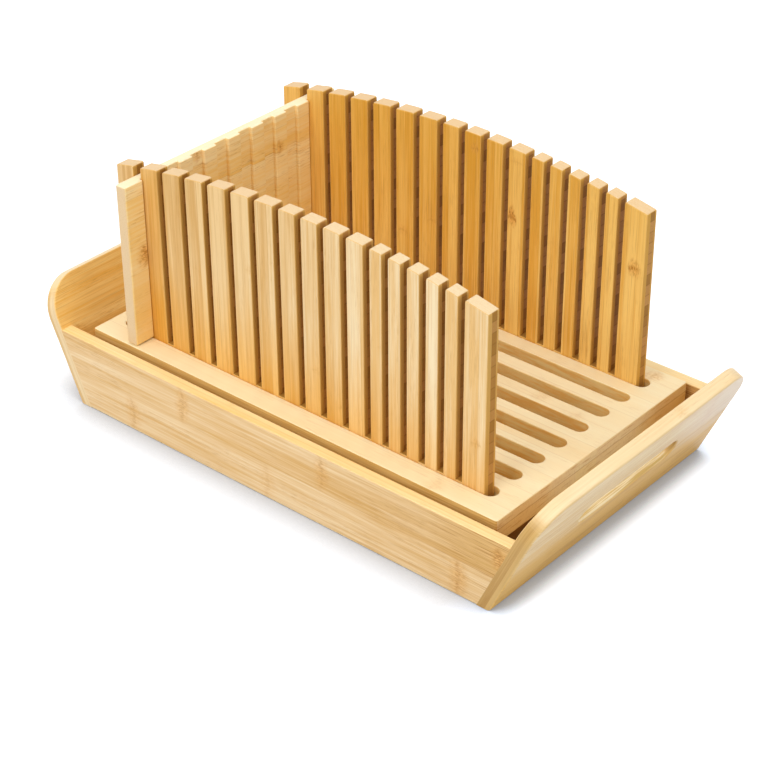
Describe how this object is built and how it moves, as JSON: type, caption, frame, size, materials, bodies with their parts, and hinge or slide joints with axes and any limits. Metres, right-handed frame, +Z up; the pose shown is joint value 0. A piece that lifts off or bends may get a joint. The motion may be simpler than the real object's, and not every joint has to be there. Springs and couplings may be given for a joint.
{
  "type": "bread slicer guide",
  "caption": "Bamboo bread slicer guide: toothed guide combs and a grooved end stop on a slotted board that lifts out of a crumb tray with slanted ends.",
  "frame": {"origin": "on the table, under the middle of the tray", "axes": "+X towards the free end of the combs, opposite the end stop, +Z up, -Y towards the front"},
  "size_m": [0.3968, 0.2084, 0.1796],
  "materials": {
    "pale_bamboo": "fine-sanded and oiled, pale",
    "golden_bamboo": "fine-sanded and oiled, golden",
    "tan_bamboo": "fine-sanded and oiled, tan",
    "dark_bamboo": "sanded, darker",
    "beech": "raw",
    "zinced_steel": "zinc plated"
  },
  "bodies": {
    "tray": {"tray_front_side": "tan_bamboo", "tray_back_side": "tan_bamboo", "tray_left_end": "tan_bamboo", "tray_right_end": "tan_bamboo", "tray_bottom_panel": "golden_bamboo", "front_left_lower_dowel": "beech", "front_left_upper_dowel": "beech", "back_left_lower_dowel": "beech", "back_left_upper_dowel": "beech", "front_right_lower_dowel": "beech", "front_right_upper_dowel": "beech", "back_right_lower_dowel": "beech", "back_right_upper_dowel": "beech"},
    "board": {"slotted_board": "pale_bamboo", "left_board_foot": "dark_bamboo", "right_board_foot": "dark_bamboo", "left_foot_front_screw": "zinced_steel", "left_foot_middle_screw": "zinced_steel", "left_foot_back_screw": "zinced_steel", "right_foot_front_screw": "zinced_steel", "right_foot_middle_screw": "zinced_steel", "right_foot_back_screw": "zinced_steel"},
    "front_comb": {"front_guide_comb": "pale_bamboo"},
    "back_comb": {"back_guide_comb": "pale_bamboo"},
    "stop": {"end_stop": "golden_bamboo"}
  },
  "joints": [
    {"name": "board_lift", "type": "slide", "parent": "tray", "child": "board", "axis": [0, 0, 1], "range_m": [0, 0.08]},
    {"name": "front_comb_lift", "type": "slide", "parent": "board", "child": "front_comb", "axis": [0, 0, 1], "range_m": [0, 0.02]},
    {"name": "back_comb_lift", "type": "slide", "parent": "board", "child": "back_comb", "axis": [0, 0, 1], "range_m": [0, 0.02]},
    {"name": "stop_lift", "type": "slide", "parent": "front_comb", "child": "stop", "axis": [0, 0, 1], "range_m": [0, 0.125]}
  ],
  "couplings": [
    {"joint": "back_comb_lift", "follows": "front_comb_lift", "ratio": 1}
  ]
}
